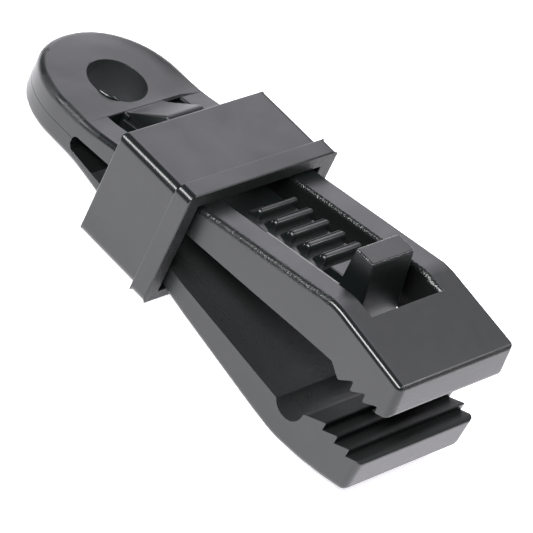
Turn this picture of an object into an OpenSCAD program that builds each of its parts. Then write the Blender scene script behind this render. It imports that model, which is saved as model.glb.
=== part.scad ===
// Tarp clip with a hanging eye, two toothed jaws, a sprung ratchet tongue and a sliding sleeve.
// Lengths are in millimetres and angles in degrees.
// The middle of the eye's hole is the origin, its axis is Z, and the jaws point along +X.
// Each jaw is drawn shut, from its flexure forwards, and is then turned open to its rest position.
// The lower jaw is drawn upside down and mirrored, so its depths are positive.

/* [Eye end] */
// Diameter of the hole for a cord or hook
eye_d = 12.5; // [8:0.1:16]
// Thickness of the eye end
eye_t = 9.2; // [8.8:0.1:10]
// From the middle of the hole back to the rounded end
eye_back = 15.2; // [13:0.1:17]
// Rounding of the rim, above and below
rim_r = 1.5; // [0.5:0.1:2.5]
// From the middle of the hole to the flexures of the jaws
flex_x = 9; // [8.8:0.1:9.4]
// Depth of the gap's rounded end behind the flexures
gap_deep = 2.3; // [2:0.1:2.8]

/* [Jaws] */
// Width of the eye end and of both jaws
body_w = 32.8; // [31.4:0.1:33.4]
// Rounding of the jaws' long outer edges
edge_r = 1.2; // [0.3:0.1:1.5]
// Rounding of the front faces' upright edges
tip_r = 0.9; // [0.3:0.1:1.5]
// Angle that each jaw stands open at rest
open_deg = 4; // [3.9:0.01:4.05]
// Gap between neighbouring bodies at a flexure
flex_gap = 0.4; // [0.3:0.02:0.6]

/* [Upper jaw] */
// Length from the flexure to the front face
upper_l = 87; // [86.6:0.1:90]
// From the flexure to the bend in the top
upper_bend_x = 66.3; // [64:0.1:68]
// Height of the top at the bend, with the jaw shut
upper_bend_h = 11.87; // [11.4:0.01:11.9]
// Height of the front face's upper edge, with the jaw shut
upper_tip_h = 7.45; // [6:0.05:9]
// Height of the inner face at the flexure
upper_gap_h = 0.9; // [0.7:0.05:1.1]
// Height of the inner face behind the teeth, with the jaw shut
upper_mouth_h = 1.2; // [1:0.05:1.4]
// Gap on each side of the tongue in its slot
slot_gap = 3.5; // [2.5:0.1:4.5]
// Rounding of the slot's long upper edges
slot_r = 1.2; // [0.3:0.1:1.5]
// From the tab's foot to the front wall of the slot
tab_room = 5; // [3:0.1:7]

/* [Lower jaw] */
// How far the upper jaw reaches past the lower one
bite_set = 0.8; // [0.5:0.1:1.1]
// From the flexure to the bend in the underside
lower_bend_x = 67.2; // [64:0.1:69]
// Depth of the underside at the bend, with the jaw shut
lower_bend_h = 12.2; // [11.6:0.05:12.25]
// Depth of the front face's lower edge, with the jaw shut
lower_tip_h = 7.6; // [6:0.05:9]
// Depth of the inner face at the flexure
lower_gap_h = 2.5; // [2.2:0.05:2.8]
// Depth of the inner face at the hem groove, with the jaw shut
lower_mouth_h = 5.2; // [4.6:0.05:5.6]
// From the lower jaw's front face back to the middle of the hem groove
groove_back = 18.9; // [18.6:0.1:20]
// Radius of the hem groove
groove_r = 3.5; // [2.8:0.1:3.8]
// Depth of the middle of the hem groove
groove_h = 3.4; // [3:0.1:3.8]
// Depth of the land in front of the hem groove
land_h = 2.6; // [2.2:0.1:2.9]

/* [Jaw teeth] */
// Teeth on each jaw
bite_count = 4; // [3:1:4]
// Distance from one tooth to the next
bite_pitch = 3.45; // [3.4:0.01:3.5]
// From the upper jaw's front face back to its first tooth
bite_nose = 3.35; // [3.1:0.05:3.5]
// Reach of the upper teeth past the middle plane, with the jaws shut
bite_reach = 0.95; // [0.6:0.05:1]
// Height of the first notch behind the upper nose
bite_top = 0.35; // [0.1:0.05:0.6]
// How much higher each further notch lies
bite_rise = 0.3; // [0.1:0.05:0.35]
// Flat on the end of each tooth
bite_flat = 0.4; // [0.2:0.05:0.6]
// Length of the ramp behind the last upper tooth
bite_ramp = 2.6; // [1.6:0.1:3]
// Depth of the notches in the lower jaw
bite_deep = 1.7; // [1.5:0.05:1.9]

/* [Ratchet tongue] */
// Width of the tongue
tongue_w = 12.6; // [11.6:0.1:13.4]
// Thickness of the sprung beam under the ratchet teeth
beam_t = 2.6; // [2:0.1:2.8]
// Width of the ratchet teeth and of the tab
rack_w = 11.6; // [9:0.1:12.4]
// Ratchet teeth in the row
rack_count = 5; // [3:1:5]
// Distance from one ratchet tooth to the next
rack_pitch = 4.32; // [4.1:0.02:4.36]
// From the flexure to the middle of the first crest
rack_x = 36.1; // [34:0.1:36.4]
// Height of a ratchet tooth
rack_h = 1.9; // [1.2:0.05:2]
// Depth of the crests below the jaw's top
rack_drop = 0.85; // [0.75:0.05:1.2]
// Flat on a crest
rack_flat = 1.2; // [0.8:0.05:1.5]
// Floor between one tooth and the next ramp
rack_floor = 0.7; // [0.3:0.05:1]
// Run of a tooth's steep front face
rack_steep = 0.25; // [0:0.05:0.4]

/* [Thumb tab] */
// From the last crest to the tab's rear face
seat_l = 5.42; // [5:0.02:6.4]
// Length of the tab's top
tab_l = 4.9; // [4:0.1:5.4]
// Height of the tab over the jaw's top
tab_rise = 6.2; // [4:0.1:8]
// Depth of the tab's foot below the tongue
tab_drop = 2.2; // [0.3:0.1:2.5]
// How far the tab's front face comes forward on the way down
tab_lean = 2.5; // [1:0.1:2.8]
// Rounding of the tab's edges
tab_r = 0.6; // [0.2:0.1:0.9]

/* [Sleeve stop] */
// Width of the ramped stop behind the sleeve
stop_w = 11; // [8:0.1:11.4]
// From the flexure to the stop's front face
stop_l = 9.8; // [9:0.1:9.9]
// Height of the stop over the jaw's top
stop_rise = 4.6; // [4:0.1:5]
// Length of the crest
stop_crest = 1.6; // [1.2:0.1:2.4]

/* [Sleeve] */
// Gap between the stop and the sleeve at rest
stop_gap = 0.8; // [0.6:0.1:1.2]
// Length of the sleeve
sleeve_l = 20.6; // [19:0.1:20.8]
// Thickness of the sleeve's side walls
side_wall = 3.1; // [2:0.1:4]
// Thickness of the sleeve's roof and floor
sleeve_wall = 1.8; // [1.4:0.1:3]
// Rounding of the sleeve's long edges
sleeve_r = 1.4; // [0.6:0.1:2]
// Gap between the jaws and the sleeve's side walls
side_gap = 0.7; // [0.4:0.05:1]
// Gap between each jaw and the sleeve's front edge at rest
slide_gap = 0.5; // [0.48:0.01:0.7]
// Rounding of the opening's corners
bore_r = 0.8; // [0.4:0.1:1.2]
// Length of the thicker lip at the front
lip_l = 4.1; // [3:0.1:6]
// How far the lip stands out at each side
lip_side = 0.35; // [0.2:0.05:1]
// How far the lip stands out above and below
lip_rise = 1.2; // [0.5:0.1:2]
// Rounding of the lip's long edges
lip_r = 1.5; // [0.3:0.1:1.8]
// Width of the catch under the sleeve's roof
catch_w = 11; // [8:0.1:16]
// Depth of the catch
catch_h = 0.9; // [0.5:0.05:0.95]
// Length of the catch
catch_l = 1.6; // [1:0.1:2.4]
// From the sleeve's front face back to the catch
catch_back = 0.9; // [0.5:0.1:2]

/* [Hidden] */
// Sides of a circle in the preview; the real curves are true
$fn = 64;
// A right angle
square_deg = 90;
// How far a cut runs past the face that it opens
over = 1;
// Points of the lower jaw's belly, as shares of the run and of the rise from bend to tip
belly_share = [[0.41, 0.22], [0.7, 0.54]];
// Share of the catch's length that is flat
catch_share = 0.4;
// Angle that the stop's round crest covers, and the flats that make it
crest_arc = 140;
crest_steps = 8;
nose_x = body_w / 2 - eye_back;
root_x = flex_gap / 2;
root_h = eye_t / 2;
upper_turn_h = (root_h + upper_gap_h) / 2;
lower_turn_h = (root_h + lower_gap_h) / 2;
gap_h = upper_gap_h + lower_gap_h;
gap_r = gap_h / 2;
upper_slope = (upper_bend_h - root_h) / upper_bend_x;
lower_slope = (lower_bend_h - root_h) / lower_bend_x;
lower_l = upper_l - bite_set;
groove_x = lower_l - groove_back;
tab_x = flex_x + rack_at(rack_count - 1) + seat_l;
tab_h = rest_at(tab_x, upper_slope, upper_turn_h) + tab_rise;
tab_foot_h = tab_h - tab_rise - rack_drop - rack_h - beam_t - tab_drop;
slot_w = tongue_w + 2 * slot_gap;
slot_l = tab_x + tab_l + tab_lean + tab_room - flex_x;
stop_r = stop_crest / 2;
stop_h = top_at(stop_l) + stop_rise;
sleeve_x = flex_x + stop_l * cos(open_deg) - (stop_h - stop_r - upper_turn_h) * sin(open_deg) + stop_gap;
sleeve_front = sleeve_x + sleeve_l;
bore_w = body_w + 2 * side_gap;
bore_up = rest_at(sleeve_front, upper_slope, upper_turn_h) + slide_gap;
bore_down = rest_at(sleeve_front, lower_slope, lower_turn_h) + slide_gap;
bore_h = bore_up + bore_down;
sleeve_w = bore_w + 2 * side_wall;
sleeve_h = bore_h + 2 * sleeve_wall;
sleeve_mid = (bore_up - bore_down) / 2;

// Height of the shut upper jaw's top plane at a distance from the flexure
function top_at(x) = root_h + upper_slope * x;
// Height at rest of a jaw's outer plane at a distance from the hole, for its slope and turning height
function rest_at(x, slope, h) = h + (root_h - h) * cos(open_deg)
  + (x - flex_x + (root_h - h) * sin(open_deg)) * tan(atan(slope) + open_deg);
// Height of the crests, and of the floors between them
function crest_at(x) = top_at(x) - rack_drop;
function floor_at(x) = crest_at(x) - rack_h;
// Steep face of an upper tooth, counted from the front
function bite_x(k) = upper_l - bite_nose - bite_pitch * k;
// Middle of a ratchet crest
function rack_at(k) = rack_x + rack_pitch * k;

// Rectangle with round corners
module plate(w, h, r) {
  square([w - 2 * r, h], center = true);
  square([w, h - 2 * r], center = true);
  for (y = [-1, 1], z = [-1, 1]) translate([y * (w / 2 - r), z * (h / 2 - r)]) circle(r);
}

// Solid along the clip from a front view
module along(l) {
  rotate([square_deg, 0, square_deg]) linear_extrude(l) children();
}

// Solid across the clip from a side view
module across(w) {
  rotate([square_deg, 0, 0]) linear_extrude(w, center = true) children();
}

// Turns a shut jaw to its rest position about the flexure at the given height
module opened(h) {
  translate([flex_x, 0, h]) rotate([0, -open_deg, 0]) translate([0, 0, -h]) children();
}

// Corner to cut off for a rounded edge
module corner(r) {
  difference() {
    square(r + over);
    circle(r);
  }
}

// Cutter that rounds the edges at both sides of a width between two points of the side view
// An inner count of 1 rounds the edges of an opening, and 0 the outer ones
module edge_cutter(a, b, w, r, inner) {
  run = norm(b - a);
  pitch = atan2(b[1] - a[1], b[0] - a[0]);
  for (side = [0, 1]) mirror([0, side, 0])
    translate([a[0], w / 2 - r + 2 * r * inner, a[1]]) rotate([0, -pitch, 0]) translate([-r, 0, -r])
      along(run + 2 * r) rotate([0, 0, square_deg * inner]) corner(r);
}

// Cutter that rounds the upright edges of a front face
module tip_cutter(l) {
  for (side = [0, 1]) mirror([0, side, 0])
    translate([l - tip_r, body_w / 2 - tip_r, 0]) linear_extrude(2 * body_w, center = true) corner(tip_r);
}

// Rear rim turned round the nose, straight part, hole, and the forked gap in front
module eye_end() {
  color("dimgray") difference() {
    union() {
      translate([nose_x, 0, 0]) rotate([0, 0, square_deg]) rotate_extrude(angle = 2 * square_deg)
        intersection() {
          plate(body_w, eye_t, rim_r);
          translate([0, -eye_t]) square([body_w, 2 * eye_t]);
        }
      translate([nose_x, 0, 0]) along(flex_x - root_x - nose_x) plate(body_w, eye_t, rim_r);
    }
    cylinder(h = eye_t + 2 * over, r = eye_d / 2, center = true);
    across(body_w + 2 * over) translate([flex_x - gap_deep + gap_r, upper_gap_h - gap_r]) {
      circle(gap_r);
      translate([0, -gap_r]) square([gap_deep, gap_h]);
    }
  }
}

// Nose, hooked teeth with steep rear faces, then the long ramp to the inner face
function upper_teeth() = [
  for (k = [0:bite_count - 1], p = [
    [bite_x(k) + bite_flat, -bite_reach],
    [bite_x(k), -bite_reach],
    k < bite_count - 1 ? [bite_x(k), bite_top + bite_rise * k] : [bite_x(k) - bite_ramp, upper_mouth_h],
    k < bite_count - 1 ? [bite_x(k) - bite_flat, bite_top + bite_rise * k]
      : [root_x, upper_gap_h]
  ]) p
];

module upper_jaw() {
  root = [root_x, top_at(root_x)];
  bend = [upper_bend_x, upper_bend_h];
  tip = [upper_l, upper_tip_h];
  color("slategray") opened(upper_turn_h) difference() {
    across(body_w) polygon(concat([root, bend, tip, [upper_l, 0]], upper_teeth()));
    edge_cutter(root, bend, body_w, edge_r, 0);
    edge_cutter(bend, tip, body_w, edge_r, 0);
    tip_cutter(upper_l);
    translate([0, -slot_w / 2, -over]) cube([slot_l, slot_w, upper_bend_h + 2 * over]);
    intersection() {
      union() {
        edge_cutter(root, bend, slot_w, slot_r, 1);
        edge_cutter(bend, tip, slot_w, slot_r, 1);
      }
      translate([-over, -body_w / 2, -over]) cube([slot_l + over, body_w, upper_bend_h + 2 * over]);
    }
  }
}

// Staircase of teeth with steep front faces, from the front corner back to the land
function lower_teeth() = [
  for (k = [1:bite_count - 1], p = [
    [lower_l - bite_pitch * k, bite_deep],
    [lower_l - bite_pitch * k, 0],
    [lower_l - bite_pitch * k - bite_flat / 2, 0]
  ]) p
];

module lower_jaw() {
  root = [root_x, root_h + lower_slope * root_x];
  bend = [lower_bend_x, lower_bend_h];
  tip = [lower_l, lower_tip_h];
  run = tip - bend;
  belly = [for (s = belly_share) bend + [run[0] * s[0], run[1] * s[1]]];
  outer = concat([root, bend], belly, [tip]);
  wall = groove_x + groove_r;
  color("slategray") mirror([0, 0, 1]) opened(lower_turn_h) difference() {
    across(body_w) polygon(concat(outer, [[lower_l, 0]], lower_teeth(), [
      [wall, land_h], [wall, groove_h], [groove_x, groove_h], [groove_x, lower_mouth_h],
      [root_x, lower_gap_h]
    ]));
    across(body_w + 2 * over) translate([groove_x, groove_h]) circle(groove_r);
    for (i = [1:len(outer) - 1]) edge_cutter(outer[i - 1], outer[i], body_w, edge_r, 0);
    tip_cutter(lower_l);
  }
}

// One ratchet tooth from the foot of its ramp to the foot of its steep face
function rack_tooth(x) = [
  [x - rack_flat / 2 - rack_pitch + rack_flat + rack_steep + rack_floor,
    floor_at(x - rack_flat / 2 - rack_pitch + rack_flat + rack_steep + rack_floor)],
  [x - rack_flat / 2, crest_at(x - rack_flat / 2)],
  [x + rack_flat / 2, crest_at(x + rack_flat / 2)],
  [x + rack_flat / 2 + rack_steep, floor_at(x + rack_flat / 2 + rack_steep)]
];

// Sprung beam with a thicker root, the ratchet row and the level seat behind the tab
module ratchet_tongue() {
  far = tab_x - flex_x + tab_l;
  foot_x = (upper_gap_h + beam_t - floor_at(0)) / upper_slope;
  core = beam_t / 2;
  seat = rack_tooth(rack_at(rack_count));
  color("darkslategray") difference() {
    opened(upper_turn_h) {
      across(tongue_w) polygon([
        [root_x, upper_gap_h], [root_x, crest_at(root_x)], [stop_l, crest_at(stop_l)],
        [stop_l, floor_at(stop_l)], [far, floor_at(far)], [far, floor_at(far) - beam_t],
        [foot_x, upper_gap_h]
      ]);
      across(rack_w) polygon(concat(
        [[rack_x - rack_pitch, floor_at(rack_x - rack_pitch) - core]],
        [for (k = [0:rack_count - 1], p = rack_tooth(rack_at(k))) p],
        [seat[0], seat[1], [far, crest_at(far)], [far, floor_at(far) - core]]
      ));
    }
    translate([tab_x, -tongue_w, 0]) cube([tab_l + flex_x, 2 * tongue_w, tab_h]);
  }
}

// Ramp that the sleeve rides over once, with a blunt front face that holds it
module sleeve_stop() {
  mid = [stop_l - stop_r, stop_h - stop_r];
  color("gray") opened(upper_turn_h) across(stop_w) polygon(concat(
    [[root_x, crest_at(root_x)], [root_x, top_at(root_x)]],
    [for (k = [crest_steps:-1:0]) let (a = crest_arc * k / crest_steps) mid + stop_r * [cos(a), sin(a)]],
    [[stop_l, crest_at(stop_l)]]
  ));
}

// Upright tab that is pressed to free the ratchet
module thumb_tab() {
  foot = tab_x + tab_l + tab_lean;
  lean = atan2(tab_lean, tab_h - tab_foot_h);
  color("gray") difference() {
    across(rack_w) polygon([
      [tab_x, tab_foot_h], [tab_x, tab_h], [tab_x + tab_l, tab_h], [foot, tab_foot_h]
    ]);
    for (side = [0, 1]) mirror([0, side, 0]) {
      translate([tab_x - over, rack_w / 2 - tab_r, tab_h - tab_r])
        along(tab_l + tab_lean + 2 * over) corner(tab_r);
      translate([tab_x + tab_l, rack_w / 2 - tab_r, tab_h]) rotate([0, -lean, 0])
        translate([-tab_r, 0, -2 * tab_h]) linear_extrude(3 * tab_h) corner(tab_r);
    }
  }
}

// Tube with a thicker lip in front and a catch under the roof
module sleeve() {
  hook = sleeve_front - catch_back - catch_l;
  color("dimgray") {
    translate([0, 0, sleeve_mid]) difference() {
      union() {
        translate([sleeve_x, 0, 0]) along(sleeve_l) plate(sleeve_w, sleeve_h, sleeve_r);
        translate([sleeve_front - lip_l, 0, 0]) along(lip_l)
          plate(sleeve_w + 2 * lip_side, sleeve_h + 2 * lip_rise, lip_r);
      }
      translate([sleeve_x - over, 0, 0]) along(sleeve_l + 2 * over) plate(bore_w, bore_h, bore_r);
    }
    across(catch_w) polygon([
      [hook, bore_up + sleeve_wall / 2], [hook, bore_up - catch_h],
      [hook + catch_l * catch_share, bore_up - catch_h], [hook + catch_l, bore_up],
      [hook + catch_l, bore_up + sleeve_wall / 2]
    ]);
  }
}

eye_end();
upper_jaw();
lower_jaw();
ratchet_tongue();
sleeve_stop();
thumb_tab();
sleeve();
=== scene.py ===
"""Looks of the tarp clip: black moulded plastic on a white sweep, seen from above its jaws.

X runs from the middle of the hole to the tips of the jaws, Y from the clip's near side to its far
side and Z upwards. Sizes are in millimetres, and MM turns them into metres where a mesh or a pattern
is made.
"""
import math

import bmesh
import bpy
from mathutils import Matrix, Vector


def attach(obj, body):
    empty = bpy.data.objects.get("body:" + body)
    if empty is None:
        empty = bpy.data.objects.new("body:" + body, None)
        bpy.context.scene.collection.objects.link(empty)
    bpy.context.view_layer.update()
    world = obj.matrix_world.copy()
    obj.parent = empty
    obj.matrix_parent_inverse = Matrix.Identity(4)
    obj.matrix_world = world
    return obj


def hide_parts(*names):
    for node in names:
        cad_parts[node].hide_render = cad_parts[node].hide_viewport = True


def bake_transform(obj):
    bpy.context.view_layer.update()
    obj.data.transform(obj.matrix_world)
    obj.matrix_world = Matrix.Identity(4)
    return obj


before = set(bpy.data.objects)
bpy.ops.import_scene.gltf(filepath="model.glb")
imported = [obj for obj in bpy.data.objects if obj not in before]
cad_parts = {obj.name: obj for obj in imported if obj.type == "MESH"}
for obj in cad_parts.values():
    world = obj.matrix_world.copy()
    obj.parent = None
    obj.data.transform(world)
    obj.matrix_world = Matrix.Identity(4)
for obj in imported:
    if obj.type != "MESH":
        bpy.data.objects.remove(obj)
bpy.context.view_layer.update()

MM = 0.001

# Eye end, and the flexures that the jaws open about
ROOT_H = 4.6             # half the eye end's thickness
HALF_W = 16.4
FAR_W = 17.0             # the far side stands out a little further
NOSE_X = 1.2             # middle of the round end
BORE_R = 6.25
BORE_STEPS = 96
PART_Z = -0.25           # parting line of the moulding
SEAM = 0.09              # height of the groove along it
FLEX_X = 9.0
TOP_TURN = 2.75          # heights that the jaws turn about
LOW_TURN = 3.55
OPEN = math.radians(4.0)

# Outlines run past the pieces that they cut: to this X and Z, and by this much across
BACK_X = -20.0
CUT_Z = 30.0
PAST = 3.0

# Tolerances in metres and radians
SNAP = 1e-7
ON_PLANE = 1e-6
FLAT_TURN = 1e-3


# Mesh helpers


def object_of(name, bm):
    """Object of a finished bmesh, with its faces turned outwards."""
    bmesh.ops.recalc_face_normals(bm, faces=bm.faces)
    mesh = bpy.data.meshes.new(name)
    bm.to_mesh(mesh)
    bm.free()
    made = bpy.data.objects.new(name, mesh)
    bpy.context.scene.collection.objects.link(made)
    return made


def sheet(bm, points):
    """One flat face through the given points."""
    return bm.faces.new([bm.verts.new(Vector(p) * MM) for p in points])


def pulled(bm, face, way):
    """Extrudes a face along a vector and keeps both ends."""
    made = bmesh.ops.extrude_face_region(bm, geom=[face], use_keep_orig=True)
    verts = [v for v in made["geom"] if isinstance(v, bmesh.types.BMVert)]
    bmesh.ops.translate(bm, vec=Vector(way) * MM, verts=verts)


def across(name, profile, low_y, high_y):
    """Solid from a side view in X and Z, drawn across the clip."""
    bm = bmesh.new()
    pulled(bm, sheet(bm, [(x, low_y, z) for x, z in profile]), (0, high_y - low_y, 0))
    return object_of(name, bm)


def upright(name, plan, low_z, high_z):
    """Solid from a plan view in X and Y."""
    bm = bmesh.new()
    pulled(bm, sheet(bm, [(x, y, low_z) for x, y in plan]), (0, 0, high_z - low_z))
    return object_of(name, bm)


def arc(cx, cy, r, start, end, steps):
    """Points of an arc, from one angle in degrees to another."""
    turns = [math.radians(start + (end - start) * k / steps) for k in range(steps + 1)]
    return [(cx + r * math.cos(a), cy + r * math.sin(a)) for a in turns]


def disc(r, steps):
    """Points of a circle about the middle of the hole."""
    return arc(0, 0, r, 0, 360, steps)[:-1]


def softened(corner, before, after, length, steps=6):
    """Points of a smooth curve in place of the corner of a side view."""
    corner, before, after = Vector(corner), Vector(before), Vector(after)
    a = corner + (before - corner).normalized() * length
    b = corner + (after - corner).normalized() * length
    shares = [k / steps for k in range(steps + 1)]
    return [tuple(a * (1 - t) ** 2 + corner * 2 * t * (1 - t) + b * t ** 2) for t in shares]


def baked(obj):
    """Applies the modifiers."""
    bpy.context.view_layer.update()
    shape = obj.evaluated_get(bpy.context.evaluated_depsgraph_get())
    mesh = bpy.data.meshes.new_from_object(shape)
    obj.modifiers.clear()
    old, obj.data = obj.data, mesh
    bpy.data.meshes.remove(old)
    mesh.name = obj.name
    return obj


def carved(obj, *tools):
    """Joins, cuts or keeps with other solids, which are used up. Each tool is (how, solid)."""
    for how, tool in tools:
        m = obj.modifiers.new(how, "BOOLEAN")
        m.operation = how
        m.object = tool
        m.solver = "EXACT"
    baked(obj)
    for _, tool in tools:
        bpy.data.objects.remove(tool)
    return obj


def cut_along(bm, faces, way, place):
    """Cuts faces along a plane, given by its direction and its distance from the middle of the hole."""
    around = dict.fromkeys(part for f in faces for part in list(f.edges) + list(f.verts))
    bmesh.ops.bisect_plane(bm, geom=list(around) + faces, plane_co=way * place, plane_no=way, dist=SNAP)


def sliced(obj, places, rays=12):
    """Adds edge loops across the piece, where it bends, and rays around its hole.

    They take the place of the stray edges that the cuts left on flat faces.
    """
    bm = bmesh.new()
    bm.from_mesh(obj.data)
    turns = [math.pi * k / rays for k in range(rays)]
    loops = [(Vector((1, 0, 0)), place * MM) for place in places]
    spokes = [(Vector((-math.sin(a), math.cos(a), 0)), 0.0) for a in turns]
    for way, place in loops:
        cut_along(bm, list(bm.faces), way, place)
    for way, place in spokes:
        cut_along(bm, [f for f in bm.faces if f.calc_center_median().x < places[0] * MM], way, place)

    def stray(e):
        if len(e.link_faces) != 2 or e.calc_face_angle(0) > FLAT_TURN:
            return False
        return not any(all(abs(v.co.dot(way) - place) < ON_PLANE for v in e.verts)
                       for way, place in loops + spokes)

    bmesh.ops.dissolve_edges(bm, edges=[e for e in bm.edges if stray(e)], use_verts=False)
    bm.to_mesh(obj.data)
    bm.free()
    return obj


WIDEST = 2.4             # largest rounding, which every edge's bevel weight is a share of
LEAST_TURN = 20          # edges that turn by fewer degrees than this aren't rounded
SHARP_TURN = 38          # edges that turn by more than this keep a crease after that
NORMAL_WEIGHT = 60


def rounded(obj, radius_of, segments=4):
    """Rounds each edge by what radius_of says for its two ends."""
    bm = bmesh.new()
    bm.from_mesh(obj.data)
    weight = bm.edges.layers.float.new("bevel_weight_edge")
    for e in bm.edges:
        if len(e.link_faces) == 2 and math.degrees(e.calc_face_angle(0)) > LEAST_TURN:
            a, b = (v.co / MM for v in e.verts)
            e[weight] = min(1.0, radius_of(a, b) / WIDEST)
    bm.to_mesh(obj.data)
    bm.free()
    m = obj.modifiers.new("round", "BEVEL")
    m.width = WIDEST * MM
    m.segments = segments
    m.limit_method = "WEIGHT"
    m.use_clamp_overlap = False
    m.miter_outer = "MITER_SHARP"
    baked(obj)
    obj.data.shade_smooth()
    obj.data.set_sharp_from_angle(angle=math.radians(SHARP_TURN))
    w = obj.modifiers.new("normals", "WEIGHTED_NORMAL")
    w.keep_sharp = True
    w.weight = NORMAL_WEIGHT
    return obj


# Side views of the jaws, drawn shut and counted from the flexure

UPPER_BEND = (66.3, 11.87)
UPPER_TIP = (87.0, 7.45)
UPPER_TEETH = [
    (87.0, -0.1), (84.15, -0.95), (83.65, -0.95), (83.65, 0.35), (83.2, 0.35),
    (80.65, -0.95), (80.2, -0.95), (80.2, 0.65), (79.75, 0.65),
    (77.2, -0.95), (76.75, -0.95), (76.75, 0.95), (76.3, 0.95),
    (73.7, -0.95), (73.2, -0.95), (70.7, 1.2),
]
LOWER_SPINE = [(24.0, 7.5), (38.0, 9.6), (60.0, 12.08)]
LOWER_BEND = (67.2, 12.65)
BELLY = [(75.0, 11.5), (80.5, 10.2)]
LOWER_TIP = (86.2, 8.45)
LOWER_TEETH = [
    (86.2, 0.0), (82.75, 1.7), (82.75, 0.0), (82.45, 0.0), (79.3, 1.7), (79.3, 0.0), (79.0, 0.0),
    (75.85, 1.7), (75.85, 0.0), (75.55, 0.0), (71.6, 2.2), (71.0, 2.6), (70.8, 3.0),
]
HEM_GROOVE = arc(67.3, 3.4, 3.5, 0, 152, 14)[1:]
ROOT_SOFT = 3.0          # reach of the smooth curves at the corners of the outsides
TOP_BEND_SOFT = 1.8
LOW_BEND_SOFT = 2.4

# Inner corners where the jaws meet the eye end, as drawn open
TOP_CROTCH = [(9.4, 0.94), (7.62, 0.84), (6.93, 0.38)]
LOW_CROTCH = [(8.87, -2.6), (7.39, -2.45), (6.71, -1.51)]
CROTCH_X = 6.7
BEND_LOOPS = [6.0, 7.0, 9.0, 10.5, 11.5, 14.0]

# Slot of the tongue in the upper jaw, narrower where the tongue is rooted
SLOT_X = (8.1, 79.5)
SLOT_HALF = 9.8
TONGUE_ROOT_X = 9.6
TONGUE_ROOT_HALF = 5.7


def rest(x, z, turn, flip=1):
    """A point of a shut jaw, counted from its flexure, where it is at rest."""
    dz = z - turn
    return (FLEX_X + x * math.cos(OPEN) - dz * math.sin(OPEN),
            flip * (turn + x * math.sin(OPEN) + dz * math.cos(OPEN)))


def top_rest(x, z):
    return rest(x, z, TOP_TURN)


def low_rest(x, z):
    return rest(x, z, LOW_TURN, -1)


def top_side_view():
    """Upper half of the body, from the back over the outside to the tip and back along the teeth."""
    back, root = (BACK_X, ROOT_H), top_rest(0, ROOT_H)
    bend, tip = top_rest(*UPPER_BEND), top_rest(*UPPER_TIP)
    outer = [back] + softened(root, back, bend, ROOT_SOFT) + softened(bend, root, tip, TOP_BEND_SOFT) + [tip]
    seam = PART_Z + SEAM
    return outer + [top_rest(*p) for p in UPPER_TEETH] + TOP_CROTCH + [(CROTCH_X, seam), (BACK_X, seam)]


def low_side_view():
    """Lower half of the body, in the same order."""
    back, root = (BACK_X, -ROOT_H), low_rest(0, ROOT_H)
    spine, belly = [low_rest(*p) for p in LOWER_SPINE], [low_rest(*p) for p in BELLY]
    outer = [back] + softened(root, back, spine[0], ROOT_SOFT) + spine
    outer += softened(low_rest(*LOWER_BEND), spine[-1], belly[0], LOW_BEND_SOFT)
    outer += belly + [low_rest(*LOWER_TIP)]
    inner = [low_rest(*p) for p in LOWER_TEETH + HEM_GROOVE] + LOW_CROTCH
    return outer + inner + [(CROTCH_X, PART_Z), (BACK_X, PART_Z)]


# Plan view of the body

NOSE_STEPS = 72
BULGE = 0.75             # the eye end is fuller at its rear near corner
BULGE_TURN = math.radians(217)
BULGE_SPREAD = 0.58
PLAN_END = 110.0
SINK_SHARES = [(40, 0.0), (58, 0.4), (70, 0.9), (77, 1.0), (86, 0.6), (96, 0.2), (PLAN_END, 0.2)]
FLARE_START = 76.0
FLARE_FULL = 88.0
TOP_SINK = 0.6           # the upper jaw's near side sinks in by this
LOW_FLARE = 0.4          # and the lower jaw's far side flares out by this


def nose_plan(flare, sink):
    """Round eye end, and jaws whose far side flares and whose near side sinks in."""
    plan = []
    for k in range(NOSE_STEPS + 1):
        turn = math.pi / 2 + math.pi * k / NOSE_STEPS
        fuller = BULGE * math.exp(-((turn - BULGE_TURN) / BULGE_SPREAD) ** 2)
        r = HALF_W + fuller + (FAR_W - HALF_W) * max(0.0, math.sin(turn))
        plan.append((NOSE_X + r * math.cos(turn), r * math.sin(turn)))
    near_side = [(x, sink * share - HALF_W) for x, share in SINK_SHARES]
    far_side = [(PLAN_END, FAR_W + flare), (FLARE_FULL, FAR_W + flare), (FLARE_START, FAR_W)]
    return plan + near_side + far_side


# Roundings of the body

EYE_RIM_R = 1.5          # outside edges of the eye end, and what the far rim has more
FAR_RIM_MORE = 0.45
JAW_RIM_R = 1.35
RIM_CHANGE_X = (3.0, 11.0)
TIP_RIM_LESS = 0.55      # upper jaw's far edge, finer towards the tip
TIP_RIM_X = (70.0, 80.0)
TIP_X = 94.4
TIP_CORNER_R = 1.5
TIP_EDGE_R = 1.0
LAST_TOOTH_R = 0.4
HOLE_FAR_R = 0.12
HOLE_NEAR_R = 0.35
HOLE_NEAR_Y = -1.0
SLOT_REAR_X = 14.0
SLOT_REAR_R = 0.5
SLOT_FAR_R = 1.2
SLOT_NEAR_R = 0.35
SLOT_FRONT_X = 80.0
SLOT_FRONT_R = 0.55
SLOT_ROOT_R = 0.3
SIDE_R = 0.06            # inner edges of the jaws' sides
JAW_TOOTH_X = 60.0       # edges that run across the jaw beyond this
JAW_TOOTH_R = 0.05
ACROSS_LEAST = 3.0
NEAR = 0.2               # how near to a face an edge counts as being on it
BEYOND_BEND_X = 69.0
BEYOND_BEND_Z = 12.0
SKIN_RISE = 0.17         # rise of the outside along a jaw


def share_between(x, ends):
    """How far x is from the first end to the second, from 0 to 1."""
    return min(1.0, max(0.0, (x - ends[0]) / (ends[1] - ends[0])))


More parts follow.
